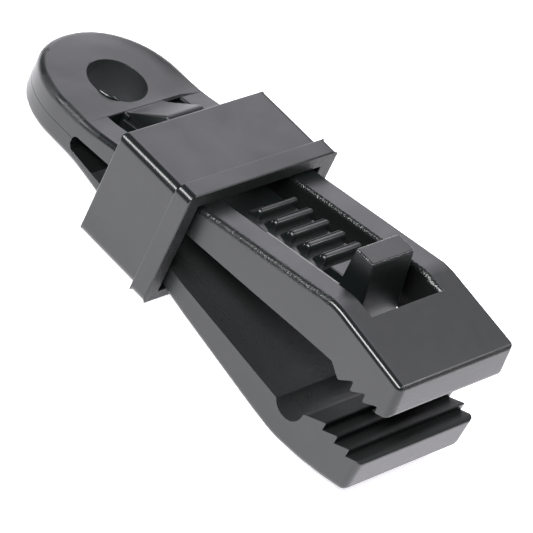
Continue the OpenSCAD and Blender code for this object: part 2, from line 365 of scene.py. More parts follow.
def edge_radius(upper):
    """Rule for the roundings of one half of the body."""
    side = 1 if upper else -1

    def on_side(p):
        if p.x < NOSE_X:
            return math.hypot(p.x - NOSE_X, p.y) > HALF_W - NEAR / 2
        return abs(p.y) > HALF_W - TOP_SINK - NEAR / 2

    def on_skin(p):
        if p.x > BEYOND_BEND_X:
            return p.z * side > BEYOND_BEND_Z
        return p.z * side > ROOT_H - NEAR + max(0, p.x - FLEX_X) * SKIN_RISE

    def rim_radius(mid):
        if upper and mid.y > 0 and mid.x > TIP_RIM_X[0]:
            return JAW_RIM_R - TIP_RIM_LESS * share_between(mid.x, TIP_RIM_X)
        ahead = share_between(mid.x, RIM_CHANGE_X)
        far = FAR_RIM_MORE * max(0.0, mid.y / HALF_W) ** 2
        return EYE_RIM_R - (EYE_RIM_R - JAW_RIM_R) * ahead + far * (1 - ahead)

    def skin_radius(mid):
        if mid.x > TIP_X:
            return TIP_EDGE_R
        if math.hypot(mid.x, mid.y) < BORE_R + NEAR:
            return HOLE_FAR_R if mid.y > HOLE_NEAR_Y else HOLE_NEAR_R
        if not upper:
            return 0.0
        if abs(mid.y) <= SLOT_HALF - NEAR:
            return SLOT_FRONT_R if mid.x > SLOT_FRONT_X else SLOT_ROOT_R
        if mid.x < SLOT_REAR_X:
            return SLOT_REAR_R
        return SLOT_FAR_R if mid.y > 0 else SLOT_NEAR_R

    def radius(a, b):
        mid = (a + b) / 2
        outside = on_side(a) and on_side(b)
        skin = on_skin(a) and on_skin(b)
        if outside and skin:
            return rim_radius(mid)
        if outside and min(a.x, b.x) > TIP_X:
            return TIP_CORNER_R
        if skin:
            return skin_radius(mid)
        if mid.x > TIP_X:
            return LAST_TOOTH_R
        if outside:
            return SIDE_R if mid.x > FLEX_X else 0.0
        runs_across = abs(a.y - b.y) > ACROSS_LEAST
        return JAW_TOOTH_R if runs_across and mid.x > JAW_TOOTH_X else 0.0

    return radius


def body_half(name, upper):
    """Eye end from the parting line outwards, with its jaw, as one moulding."""
    body = across(name, top_side_view() if upper else low_side_view(), -HALF_W - PAST, HALF_W + PAST)
    plan = nose_plan(0.0, TOP_SINK) if upper else nose_plan(LOW_FLARE, 0.0)
    tools = [("INTERSECT", upright("plan", plan, -CUT_Z, CUT_Z)),
             ("DIFFERENCE", upright("bore", disc(BORE_R, BORE_STEPS), -CUT_Z, CUT_Z))]
    if upper:
        (ax, bx), w, r = SLOT_X, SLOT_HALF, TONGUE_ROOT_HALF
        root = [(ax, r), (TONGUE_ROOT_X, r), (TONGUE_ROOT_X, -r), (ax, -r)]
        slot = root + [(ax, -w), (bx, -w), (bx, w), (ax, w)]
        tools.append(("DIFFERENCE", upright("slot", slot, -CUT_Z, CUT_Z)))
    carved(body, *tools)
    sliced(body, BEND_LOOPS)
    rounded(body, edge_radius(upper))
    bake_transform(body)
    return body


body_top = body_half("body_top", True)
body_low = body_half("body_low", False)
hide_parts("eye_end", "upper_jaw")
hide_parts("lower_jaw")


# Ratchet tongue, with its teeth, its seat for the thumb tab, the tab and the sleeve stop

SLOPE = (UPPER_BEND[1] - ROOT_H) / UPPER_BEND[0]
CREST_DOWN = 0.85        # the crests lie this far under the jaw's top
RACK_DEPTH = 1.9
RACK_X = (10.2, 59.9)
TONGUE_HALF = 6.3
TONGUE_ROOT = (0.1, 0.95)
TONGUE_KNEE = (15.7, 0.9)
TONGUE_END = (59.4, 2.6)     # along, and down from the rack's floor
TONGUE_LONG_R = 0.3          # the sides' edges, and the others
TONGUE_R = 0.1
STEEP = 0.6
TEETH = 5
FIRST_TOOTH = 36.1
TOOTH_STEP = 4.32
TOOTH_Y = (-4.5, 6.65)
TOOTH_END_R = 0.9
TOOTH_REAR = (2.6, 2.4)      # a tooth's foot and heel, counted back from its middle
TOOTH_FRONT = 0.85
TOOTH_WAIST = 0.4            # its rounded ends draw in towards this far behind its middle
TOOTH_ROOT = 0.8             # how far its foot is sunk into the tongue
TOOTH_CREASE = 60
CREST_UP = 0.1
END_SHARES = (0.06, 0.2, 0.45, 0.75, 1.0)
END_LEAN = 0.35
RIDGE = [(-1.3, -0.9), (-1.24, -0.4), (-1.12, -0.22), (-0.98, -0.2), (-0.88, -0.36), (-0.82, -0.5)]
NO_RIDGE = [(-0.9, -0.8)]
CREST = [(-0.76, -0.44), (-0.68, -0.12), (-0.52, 0.02), (-0.2, 0.06), (0.12, 0.03), (0.32, -0.1),
         (0.5, -0.36), (0.64, -0.72), (0.74, -1.15), (0.8, -1.6)]
SEAT_X = (54.9, 56.3, 60.4, 59.9)
SEAT_LAST_X = 60.0
SEAT_SINK = 1.0
SEAT_HALF = 5.8
SEAT_R = 0.3
STOP_Y = (-5.1, 5.3)
STOP_END_X = 9.8
STOP_TOP = [(-0.9, 4.0), (-0.9, 4.66), (0.3, 5.2), (7.9, 10.15), (8.6, 10.42), (9.3, 10.2), (STOP_END_X, 9.4)]
STOP_FOOT = (0.6, 4.0)
STOP_SINK = 0.3
STOP_SHARP_Z = 5.0           # no rounding below this
STOP_SIDE_R = 0.5
STOP_R = 0.25
TAB_LINE = [(67.8, 7.2), (67.8, 21.46), (72.75, 21.46), (75.3, 7.2)]
TAB_Y = (-5.95, 6.4)
TAB_FAR_Y = 6.0              # the upright edges beyond this are rounder
TAB_UPRIGHT = 5.0
TAB_FAR_R = 0.9
TAB_R = 0.5


def top_at(x):
    """Height of the shut upper jaw's top behind its bend."""
    return ROOT_H + SLOPE * x


def crest_at(x):
    return top_at(x) - CREST_DOWN


def floor_at(x):
    return crest_at(x) - RACK_DEPTH


def same_y(a, b):
    """Whether an edge keeps to one side view."""
    return abs(a.y - b.y) < NEAR / 2


def make_tongue():
    """Sprung beam, thick at its root, that the other pieces stand on."""
    root_x, end_x = TONGUE_ROOT[0], TONGUE_END[0]
    line = [TONGUE_ROOT, (root_x, crest_at(root_x)), (STOP_END_X, crest_at(STOP_END_X))]
    line += [(x, floor_at(x)) for x in RACK_X]
    line += [(end_x, floor_at(end_x) - TONGUE_END[1]), TONGUE_KNEE]
    made = across("tongue", [top_rest(*p) for p in line], -TONGUE_HALF, TONGUE_HALF)

    def radius(a, b):
        lies_along = same_y(a, b) and abs(a.z - b.z) < STEEP * (a - b).length
        return TONGUE_LONG_R if lies_along else TONGUE_R

    return rounded(made, radius)


def make_tooth(k):
    """Tooth with a small ridge behind its crest, and ends that are rounded down to the tongue."""
    x = FIRST_TOOTH + TOOTH_STEP * k
    foot, high = floor_at(x), crest_at(x) + CREST_UP
    line = [(x - TOOTH_REAR[0], foot - TOOTH_ROOT), (x - TOOTH_REAR[1], foot)]
    line += [(x + dx, high + dz) for dx, dz in (RIDGE if k else NO_RIDGE) + CREST]
    line += [(x + TOOTH_FRONT, foot), (x + TOOTH_FRONT, foot - TOOTH_ROOT)]
    base_x, base_z = top_rest(x - TOOTH_WAIST, foot)
    low_y, high_y = TOOTH_Y
    bm = bmesh.new()
    face = sheet(bm, [(px, low_y, pz) for px, pz in [top_rest(*p) for p in line]])
    pulled(bm, face, (0, high_y - low_y, 0))
    for share in END_SHARES:
        for y in (low_y + TOOTH_END_R * share, high_y - TOOTH_END_R * share):
            cut_along(bm, list(bm.faces), Vector((0, 1, 0)), y * MM)
    for v in bm.verts:
        px, y, z = v.co / MM
        inside = min(1.0, max(0.0, min(y - low_y, high_y - y) / TOOTH_END_R))
        drop = TOOTH_END_R * (1 - math.sqrt(1 - (1 - inside) ** 2))
        near_x = px + END_LEAN * drop * (1 if px < base_x else -1)
        v.co = Vector((near_x, y, max(z - drop, min(z, base_z)))) * MM
    made = object_of(f"tooth_{k}", bm)
    made.data.shade_smooth()
    made.data.set_sharp_from_angle(angle=math.radians(TOOTH_CREASE))
    return made


def make_seat():
    """Block that carries the thumb tab's rear."""
    low, rise, top, end = SEAT_X
    line = [(low, floor_at(low)), (rise, crest_at(rise)), (top, crest_at(top)),
            (end, floor_at(SEAT_LAST_X) - SEAT_SINK), (low, floor_at(low) - SEAT_SINK)]
    made = across("seat", [top_rest(*p) for p in line], -SEAT_HALF, SEAT_HALF)
    return rounded(made, lambda a, b: SEAT_R)


def make_stop():
    """Wedge that keeps the sleeve from the eye."""
    line = STOP_TOP + [(STOP_END_X, crest_at(STOP_END_X) - STOP_SINK), STOP_FOOT]
    made = across("stop", [top_rest(*p) for p in line], *STOP_Y)

    def radius(a, b):
        if (a.z + b.z) / 2 < STOP_SHARP_Z:
            return 0.0
        return STOP_SIDE_R if same_y(a, b) else STOP_R

    return rounded(made, radius, segments=3)


def make_tab():
    """Thumb tab, leaning back at its front."""
    made = across("tab", TAB_LINE, *TAB_Y)

    def radius(a, b):
        upright_edge = abs(a.z - b.z) > TAB_UPRIGHT
        return TAB_FAR_R if upright_edge and min(a.y, b.y) > TAB_FAR_Y else TAB_R

    return rounded(made, radius, segments=5)


tongue = make_tongue()
teeth = [make_tooth(k) for k in range(TEETH)]
seat = make_seat()
stop = make_stop()
tab = make_tab()


# Small forms of the moulding

CORE_R = 10.0
CORE_HALF_H = 0.5
LIP_START = math.radians(-86)
LIP_SWEEP = math.radians(48)
LIP_H = 0.62
LIP_STEPS = 24
LIP_CROSS = [(-0.02, -0.3), (-0.02, 1.0), (0.08, 1.0), (0.52, 0.5), (1.0, -0.02)]   # out and up from the rim
LIP_INNER = 0.1
LIP_FADE = 0.6
BURR_X = (43.0, 62.0)
BURR_CROSS = [(-10.06, -0.05), (-9.92, 0.1), (-9.84, 0.12), (-9.78, -0.3)]


def make_core():
    """Ring that closes the parting line from inside."""
    ring = upright("core", disc(CORE_R, BORE_STEPS // 2), PART_Z - CORE_HALF_H, PART_Z + CORE_HALF_H)
    hole = upright("core_hole", disc(BORE_R + 0.01, BORE_STEPS), -ROOT_H, ROOT_H)
    return carved(ring, ("DIFFERENCE", hole))


def make_hole_lip():
    """Raised lip at the near side of the hole, highest in its middle."""
    bm = bmesh.new()
    cos, sin = math.cos(LIP_START), math.sin(LIP_START)
    cross = [(BORE_R + out, ROOT_H + up) for out, up in LIP_CROSS]
    face = sheet(bm, [(r * cos, r * sin, z) for r, z in cross])
    bmesh.ops.spin(bm, geom=bm.verts[:] + bm.edges[:] + [face], cent=(0, 0, 0), axis=(0, 0, 1),
                   angle=LIP_SWEEP, steps=LIP_STEPS, use_merge=False)
    for v in bm.verts:
        x, y, z = v.co / MM
        share = min(1.0, max(0.0, (math.atan2(y, x) - LIP_START) / LIP_SWEEP))
        high = LIP_H * max(0.0, math.sin(math.pi * share)) ** LIP_FADE
        r = math.hypot(x, y)
        inner = BORE_R + LIP_INNER
        near_r = r if r < inner else inner + (r - inner) * high
        near_z = ROOT_H + (z - ROOT_H) * (high if z > ROOT_H else 1)
        v.co = Vector((x * near_r / r, y * near_r / r, near_z)) * MM
    made = object_of("hole_lip", bm)
    made.data.shade_smooth()
    return made


def make_slot_burr():
    """Thin burr along the near edge of the slot."""
    (ax, az), (bx, bz) = [top_rest(x, top_at(x)) for x in BURR_X]
    bm = bmesh.new()
    pulled(bm, sheet(bm, [(ax, y, az + z) for y, z in BURR_CROSS]), (bx - ax, 0, bz - az))
    return object_of("slot_burr", bm)


core = make_core()
hole_lip = make_hole_lip()
slot_burr = make_slot_burr()

for piece in [tongue, seat, stop, tab] + teeth:
    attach(piece, "ratchet_tongue")
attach(hole_lip, "eye_end")
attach(core, "eye_end")
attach(slot_burr, "upper_jaw")
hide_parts("ratchet_tongue")
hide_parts("sleeve_stop")
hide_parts("thumb_tab")


# Sleeve: a shell with a lip around its front, and a wider far side like the body's

SLEEVE_X = (19.1, 39.7)
SHELL_YZ = (-20.2, 20.6, -12.55, 12.75)
LIP_X = 35.6
LIP_SET_BACK = 0.5       # the shell ends this far behind the lip's front
LIP_YZ = (-20.6, 21.6, -13.75, 13.85)
OPENING_X = (10.0, 50.0)
OPENING_YZ = (-17.1, 17.7, -11.3, 10.65)
SLEEVE_LONG_R = 2.0
SLEEVE_REAR_R = 0.5
SLEEVE_FRONT_R = 0.35
SLEEVE_INSIDE_R = 0.25
LIP_BACK_R = 0.3
LIP_ROOT_R = 0.2
LIP_OUT_Y = 20.4         # what lies further out than these is the lip's
LIP_OUT_Z = 13.0


def block(name, ends, low_y, high_y, low_z, high_z):
    """Block along the clip."""
    x0, x1 = ends
    return across(name, [(x0, low_z), (x1, low_z), (x1, high_z), (x0, high_z)], low_y, high_y)


def sleeve_radius(a, b):
    """Rule for the roundings of the sleeve."""
    mid = (a + b) / 2
    _, high_y, low_z, high_z = OPENING_YZ
    if abs(mid.y) < high_y + NEAR and low_z - NEAR < mid.z < high_z + NEAR:
        return SLEEVE_INSIDE_R
    if abs(a.x - b.x) > (a - b).length / 2:
        return SLEEVE_LONG_R
    if mid.x < SLEEVE_X[0] + NEAR:
        return SLEEVE_REAR_R
    if mid.x > SLEEVE_X[1] - NEAR:
        return SLEEVE_FRONT_R
    return LIP_BACK_R if abs(mid.z) > LIP_OUT_Z or abs(mid.y) > LIP_OUT_Y else LIP_ROOT_R


def make_sleeve():
    """Shell and lip in one, with the opening for the jaws."""
    made = block("sleeve_shell", (SLEEVE_X[0], SLEEVE_X[1] - LIP_SET_BACK), *SHELL_YZ)
    carved(made,
           ("UNION", block("lip", (LIP_X, SLEEVE_X[1]), *LIP_YZ)),
           ("DIFFERENCE", block("opening", OPENING_X, *OPENING_YZ)))
    return rounded(made, sleeve_radius, segments=5)


sleeve = make_sleeve()
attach(sleeve, "sleeve")
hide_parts("sleeve")


# Node helpers

VECTOR, FLOAT = "NodeSocketVector", "NodeSocketFloat"


def group(name, inputs, outputs):
    """Empty node group with its sockets; returns the tree, its inputs' node and its outputs' node."""
    t = bpy.data.node_groups.new(name, "ShaderNodeTree")
    for label, kind, default in inputs:
        made = t.interface.new_socket(label, in_out="INPUT", socket_type=kind)
        if default is not None:
            made.default_value = default
    for label in outputs:
        t.interface.new_socket(label, in_out="OUTPUT", socket_type=FLOAT)
    return t, t.nodes.new("NodeGroupInput").outputs, t.nodes.new("NodeGroupOutput").inputs


def node(t, kind, inputs=(), **settings):
    """Adds a node; inputs are (socket, value or output)."""
    made = t.nodes.new(kind)
    for key, value in settings.items():
        setattr(made, key, value)
    for socket, value in inputs:
        if isinstance(value, bpy.types.NodeSocket):
            t.links.new(value, made.inputs[socket])
        else:
            made.inputs[socket].default_value = value
    return made


def calc(t, what, *values, clamp=False):
    """Result of a Math node."""
    return node(t, "ShaderNodeMath", enumerate(values), operation=what, use_clamp=clamp).outputs[0]


def times(t, a, b):
    return calc(t, "MULTIPLY", a, b)


def plus(t, a, b):
    return calc(t, "ADD", a, b)


def minus(t, a, b):
    return calc(t, "SUBTRACT", a, b)


def vector_math(t, what, a, b, result=0):
    """Result of a Vector Math node with two vectors."""
    return node(t, "ShaderNodeVectorMath", [(0, a), (1, b)], operation=what).outputs[result]


def axes(t, where):
    """The three numbers of a vector."""
    return node(t, "ShaderNodeSeparateXYZ", [("Vector", where)]).outputs


def noise_node(t, where, size, detail=2.0, rough=0.5, warp=0.0):
    """Noise whose patches are about the given size in millimetres."""
    return node(t, "ShaderNodeTexNoise", [("Vector", where), ("Scale", 1 / (size * MM)), ("Detail", detail),
                                          ("Roughness", rough), ("Distortion", warp)]).outputs["Fac"]


def mapped(t, where, scale, turn=(0.0, 0.0, 0.0)):
    """A vector that is turned and stretched, so that a pattern on it becomes lines."""
    return node(t, "ShaderNodeMapping", [("Vector", where), ("Rotation", turn), ("Scale", scale)]).outputs[0]


def ramp(t, value, low, high, to_low=0.0, to_high=1.0):
    """Smooth change from to_low to to_high while the value goes from low to high."""
    return node(t, "ShaderNodeMapRange", [("Value", value), ("From Min", low), ("From Max", high),
                                          ("To Min", to_low), ("To Max", to_high)],
                interpolation_type="SMOOTHSTEP").outputs[0]


# Skins of the plastic, each a node group

PIT_SIZE = 0.9
DOME_R = 0.0105          # the dome starts this far from the nose's middle, in metres
DOME_DROP = 2.0e6        # how fast it falls away, in units of the bump per square metre


def satin_skin():
    """Fine grain, slow ripples from the tool, thin scuffs and a few specks of dust."""
    t, given, out = group("satin_skin", [("Place", VECTOR, None), ("Grain", FLOAT, 1.0)],
                          ["Height", "Gloss", "Dust"])
    place = given["Place"]
    fine = noise_node(t, place, 0.16, detail=3.0, rough=0.6)
    ripple = noise_node(t, place, 5.0, detail=1.0)
    patch = noise_node(t, place, 11.0, detail=3.0, rough=0.55, warp=0.4)
    stretched = mapped(t, place, (0.12, 1.6, 1.0), turn=(0.0, 0.0, 0.5))
    scuff = ramp(t, noise_node(t, stretched, 0.5, detail=4.0, rough=0.7), 0.66, 0.74)
    scuff = times(t, scuff, ramp(t, patch, 0.5, 0.66))
    speck = ramp(t, noise_node(t, place, 0.34, detail=1.0), 0.80, 0.86)
    height = plus(t, times(t, fine, given["Grain"]), times(t, ripple, 5.0))
    t.links.new(minus(t, height, times(t, scuff, 0.5)), out["Height"])
    t.links.new(plus(t, ramp(t, patch, 0.3, 0.7, -0.03, 0.03), times(t, scuff, 0.08)), out["Gloss"])
    t.links.new(calc(t, "MAXIMUM", times(t, scuff, 0.25), speck), out["Dust"])
    return t


def domed_skin(satin_tree):
    """The satin skin, falling away towards the far rim of the eye end."""
    t, given, out = group("domed_skin", [("Place", VECTOR, None)], ["Height", "Gloss", "Dust"])
    skin = node(t, "ShaderNodeGroup", [("Place", given["Place"]), ("Grain", 1.0)],
                node_tree=satin_tree).outputs
    flat = vector_math(t, "MULTIPLY", given["Place"], (1.0, 1.0, 0.0))
    off = vector_math(t, "DISTANCE", flat, (NOSE_X * MM, 0.0, 0.0), "Value")
    place = axes(t, given["Place"])
    past = calc(t, "MAXIMUM", minus(t, off, DOME_R), 0.0)
    drop = times(t, calc(t, "POWER", past, 2.0), ramp(t, place["Y"], -0.006, 0.004, 0.0, DOME_DROP))
    drop = times(t, drop, ramp(t, place["X"], -0.001, 0.009, 1.0, 0.1))
    t.links.new(minus(t, skin["Height"], drop), out["Height"])
    t.links.new(skin["Gloss"], out["Gloss"])
    t.links.new(skin["Dust"], out["Dust"])
    return t


def coarse_skin():
    """Pitted and grainy, as left by an unpolished part of the tool."""
    t, given, out = group("coarse_skin", [("Place", VECTOR, None), ("Size", FLOAT, 0.5)], ["Height", "Pits"])
    scaled = node(t, "ShaderNodeVectorMath", [(0, given["Place"])], operation="SCALE")
    t.links.new(calc(t, "DIVIDE", 0.5, given["Size"]), scaled.inputs["Scale"])
    place = scaled.outputs[0]
    rough = noise_node(t, place, 0.5, detail=4.0, rough=0.65)
    lumps = noise_node(t, place, 1.6, detail=3.0, rough=0.6, warp=0.8)
    cells = node(t, "ShaderNodeTexVoronoi", [("Vector", place), ("Scale", 1 / (PIT_SIZE * MM))])
    pits = times(t, ramp(t, cells.outputs["Distance"], 0.34, 0.12), ramp(t, lumps, 0.52, 0.62))
    height = plus(t, times(t, rough, 0.7), times(t, lumps, 1.2))
    t.links.new(minus(t, height, times(t, pits, 0.8)), out["Height"])
    t.links.new(pits, out["Pits"])
    return t


def pebbled_skin():
    """Small round bumps that break a highlight into dots."""
    t, given, out = group("pebbled_skin", [("Place", VECTOR, None)], ["Height"])
    bumps = noise_node(t, given["Place"], 0.36, detail=1.0, rough=0.4)
    finer = noise_node(t, given["Place"], 0.15, detail=2.0, rough=0.5)
    t.links.new(plus(t, bumps, times(t, finer, 0.25)), out["Height"])
    return t


def drag_lines():
    """Lines across a cut face, with paler streaks."""
    t, given, out = group("drag_lines", [("Place", VECTOR, None)], ["Height", "Pale"])
    drawn_out = mapped(t, given["Place"], (1.0, 0.08, 1.0))
    lines = noise_node(t, drawn_out, 0.35, detail=4.0, rough=0.65)
    soft = noise_node(t, given["Place"], 2.5, detail=2.0)
    t.links.new(plus(t, lines, times(t, soft, 0.6)), out["Height"])
    t.links.new(times(t, ramp(t, lines, 0.45, 0.7), soft), out["Pale"])
    return t


# Materials, all of the same black plastic

BLACK = (0.0052, 0.0070, 0.0068)
DUST = (0.12, 0.12, 0.125)
PLASTIC_IOR = 1.56


def colour(tint):
    return (*tint, 1)


def plastic(name, tree, rough, relief, given=(), tint=BLACK, ior=PLASTIC_IOR, gloss=None, mask=None,
            mask_tint=DUST, mask_share=1.0):
    """Black plastic with one of the skins, whose relief is in millimetres.

    The inputs of the skin's group are given as (label, value), and gloss and mask name its outputs.
    """
    mat = bpy.data.materials.new(name)
    mat.use_nodes = True
    t = mat.node_tree
    shader = t.nodes["Principled BSDF"].inputs
    where = node(t, "ShaderNodeTexCoord").outputs["Object"]
    skin = node(t, "ShaderNodeGroup", node_tree=tree)
    t.links.new(where, skin.inputs["Place"])
    for label, value in given:
        skin.inputs[label].default_value = value
    bump = node(t, "ShaderNodeBump", [("Height", skin.outputs["Height"]), ("Strength", 1.0),
                                      ("Distance", relief * MM)])
    t.links.new(bump.outputs["Normal"], shader["Normal"])
    shader["IOR"].default_value = ior
    if gloss:
        t.links.new(calc(t, "ADD", skin.outputs[gloss], rough, clamp=True), shader["Roughness"])
    else:
        shader["Roughness"].default_value = rough
    if mask:
        share = times(t, skin.outputs[mask], mask_share)
        mix = node(t, "ShaderNodeMix", [("Factor", share), ("A", colour(tint)), ("B", colour(mask_tint))],
                   data_type="RGBA")
        t.links.new(mix.outputs["Result"], shader["Base Color"])
    else:
        shader["Base Color"].default_value = colour(tint)
    return mat


def satin_plastic(name, tree, rough, relief, dust, given=()):
    """Plastic with specks of dust and a gloss that varies."""
    return plastic(name, tree, rough, relief, given, gloss="Gloss", mask="Dust", mask_share=dust)


satin_tree, coarse_tree, pebbled_tree = satin_skin(), coarse_skin(), pebbled_skin()
satin = satin_plastic("satin_black", satin_tree, 0.33, 0.012, 0.6, [("Grain", 1.0)])
domed = satin_plastic("domed_black", domed_skin(satin_tree), 0.33, 0.012, 0.6)
polished = satin_plastic("polished_edge", satin_tree, 0.21, 0.010, 0.3, [("Grain", 0.9)])
sheen = satin_plastic("sleeve_black", satin_tree, 0.31, 0.011, 0.4, [("Grain", 0.8)])
wedge = plastic("stop_black", satin_tree, 0.42, 0.012, [("Grain", 1.0)])
# The burr's pale tint is a painted highlight: it brightens the thin light line along the slot's near edge,
# which the burr's shape also catches from the key lamp
painted_highlight = plastic("whitened_burr", satin_tree, 0.4, 0.010, [("Grain", 1.0)], tint=(0.13, 0.13, 0.135))
grainy = plastic("pebbled_edge", pebbled_tree, 0.24, 0.12)
dull = plastic("dull_edge", pebbled_tree, 0.30, 0.11)
faint = plastic("faint_edge", pebbled_tree, 0.46, 0.09)
# The pits are painted near-black: painted shade inside them, on top of their bump
pitted = plastic("pitted_black", coarse_tree, 0.5, 0.12, [("Size", 0.5)], tint=(0.016, 0.0188, 0.0186),
                 mask="Pits", mask_tint=(0.001, 0.001, 0.001))
torn = plastic("torn_black", coarse_tree, 0.55, 0.16, [("Size", 0.35)],
               mask="Pits", mask_tint=(0.02, 0.02, 0.02))
chipped = plastic("chipped_edge", coarse_tree, 0.42, 0.10, [("Size", 0.3)], tint=(0.012, 0.012, 0.013))
shaded = plastic("shaded_black", coarse_tree, 0.7, 0.08, [("Size", 0.5)], tint=(0.002, 0.0024, 0.0024),
                 ior=1.3)
matte = plastic("matte_black", coarse_tree, 0.62, 0.05, [("Size", 0.4)], ior=1.42)
cut = plastic("cut_black", drag_lines(), 0.43, 0.03, tint=(0.026, 0.0255, 0.028), mask="Pale",
              mask_tint=(0.06, 0.058, 0.062), mask_share=0.7)


# Zones of the pieces, which tell from a face's centre and normal whether it is in them

FLAT = 0.995             # a normal that is nearer than this to an axis is a flat face's
ROUND = 0.08             # and one that leans less than this isn't a rounding's
RISING = 0.05            # roundings that face up at all
NEAR_LEAN = 0.1
WALL_RISE = 0.3          # the normal of a wall rises less than this
WALL_TURN = 0.9
LEVEL = 0.9
ONWARD = 0.9
OPEN_EDGE_X = 30.0       # under the sleeve, in front of which the edges show
RAIL_END_X = 73.5
RAIL_Y = -12.0
SLOT_END_X = 88.0
SLOT_FAR_Y = 5.0
LONG_EDGE_X = 12.0
LONG_EDGE_LEAN = 0.62
RIM_Y = -8.0
RIM_END_X = 6.5
RIM_GAP = (216, 240)     # in degrees around the nose's middle
RIM_LAST_GAP = 262
RIM_WHOLE_X = 2.4        # the highlight doesn't break off beyond this
FRONT_EDGE_X = 93.0
FRONT_EDGE_TURN = (0.5, 0.985)
FRONT_EDGE_LEAN = 0.4
FRONT_FACE_X = 94.5
FRONT_FACE_TURN = 0.85
HOLE_REACH = 0.05        # how far outside the hole's and the slot's sizes their walls may lie
SLOT_REACH = 0.1
SLOT_WALL_X = 20.0
INNER_TOP_X = 12.0
INNER_TOP_Z = 8.0
INNER_TOP_FALL = 0.5
INNER_LOW_X = 9.5
INNER_RISE = 0.2
INSIDE_X = (6.5, 50.0)
INSIDE_HALF_H = 3.0      # half the height of the room inside, and how it grows along X
INSIDE_GROWTH = 0.07
INSIDE_LEAN = 0.5
TREAD_X = 82.5
TAB_FLAT = 0.97
TAB_EDGE_Z = 17.0
SLEEVE_FRONT_GAP = 0.1


def leans_near(n):
    """Whether a face is part of a rounding that faces the near side and up."""
    return n.z > ROUND and -FLAT < n.y < -NEAR_LEAN


def rail_edge(c, n):
    return OPEN_EDGE_X < c.x < RAIL_END_X and c.y < RAIL_Y and leans_near(n)


def slot_edge(c, n):
    return OPEN_EDGE_X < c.x < SLOT_END_X and c.y > SLOT_FAR_Y and leans_near(n)


def long_edge(c, n):
    return ROUND < -n.y < FLAT and n.z > RISING and abs(n.x) < LONG_EDGE_LEAN and c.x > LONG_EDGE_X


def eye_top(c, n):
    return n.z > LEVEL and c.x < FLEX_X


def rim_edge(c, n):
    """Near rim of the eye end, with gaps where its highlight breaks off."""
    turn = math.degrees(math.atan2(c.y, c.x - NOSE_X)) % 360
    gap = RIM_GAP[0] < turn < RIM_GAP[1] or turn > RIM_LAST_GAP
    return ROUND < n.z < FLAT and c.y < RIM_Y and c.x < RIM_END_X and (c.x > RIM_WHOLE_X or not gap)


def front_edge(c, n):
    least, most = FRONT_EDGE_TURN
    return c.x > FRONT_EDGE_X and least < n.x < most and abs(n.y) < FRONT_EDGE_LEAN and n.z > RISING


def front_face(c, n):
    return c.x > FRONT_FACE_X and n.x > FRONT_FACE_TURN


def hole_wall(c, n):
    return math.hypot(c.x, c.y) < BORE_R + HOLE_REACH and abs(n.z) < WALL_RISE


def slot_wall(c, n):
    upright_wall = abs(n.z) < WALL_RISE and abs(n.y) > WALL_TURN
    return upright_wall and abs(c.y) < SLOT_HALF + SLOT_REACH and c.x > SLOT_WALL_X


def inner_top(c, n):
    return n.z < -INNER_TOP_FALL and c.x > INNER_TOP_X and c.z < INNER_TOP_Z


def inner_low(c, n):
    return n.z > INNER_RISE and c.x > INNER_LOW_X


def root_inside(c, n):
    within = INSIDE_X[0] < c.x < INSIDE_X[1] and abs(c.z) < INSIDE_HALF_H + INSIDE_GROWTH * c.x
    return within and abs(n.z) > INNER_RISE and abs(n.y) < INSIDE_LEAN


def tread(c, n):
    return c.x > TREAD_X and n.z > INNER_RISE


def tab_edge(c, n):
    return max(abs(v) for v in n) < TAB_FLAT and c.z > TAB_EDGE_Z


def sleeve_front(c, n):
    return n.x > ONWARD and c.x > SLEEVE_X[1] - SLEEVE_FRONT_GAP


def dress(obj, base, *zones):
    """Gives a piece its material, and others to the faces of its zones: (material, zone)."""
    obj.data.materials.clear()
    for mat in [base] + [mat for mat, _ in zones]:
        obj.data.materials.append(mat)
    for face in obj.data.polygons:
        centre = face.center / MM
        for k, (_, in_zone) in enumerate(zones):
            if in_zone(centre, face.normal):
                face.material_index = k + 1


dress(body_top, satin, (domed, eye_top), (polished, long_edge), (cut, front_face), (shaded, inner_top),
      (dull, rail_edge), (grainy, slot_edge), (faint, rim_edge), (chipped, front_edge), (matte, hole_wall),
      (shaded, slot_wall))
dress(body_low, satin, (cut, front_face), (pitted, inner_low), (matte, tread), (matte, hole_wall),
      (shaded, root_inside))
dress(sleeve, sheen, (polished, long_edge), (torn, sleeve_front))
dress(tab, satin, (grainy, tab_edge))
for piece in [tongue, seat] + teeth:
    dress(piece, satin)
dress(stop, wedge)
dress(core, matte)
dress(hole_lip, polished)
dress(slot_burr, painted_highlight)


# White floor, which the clip leans on with the sleeve's lip and the lower jaw's belly

LIP_FOOT = (39.7, 13.75)
BELLY_FOOT = (75.4, 17.25)
FLOOR_GAP = 0.05
FLOOR_HALF = 2.5         # in metres, as are the distances that the floor fades over
FLOOR_WHITE = (0.86, 0.86, 0.87)
FLOOR_GLOW = 1.2


def make_floor():
    """Large sheet under the clip."""
    bm = bmesh.new()
    bmesh.ops.create_grid(bm, x_segments=1, y_segments=1, size=FLOOR_HALF)
    made = object_of("floor", bm)
    tilt = math.atan2(BELLY_FOOT[1] - LIP_FOOT[1], BELLY_FOOT[0] - LIP_FOOT[0])
    foot = Vector((LIP_FOOT[0], 0, -LIP_FOOT[1] - FLOOR_GAP)) * MM
    made.matrix_world = Matrix.Translation(foot) @ Matrix.Rotation(tilt, 4, "Y")
    return made


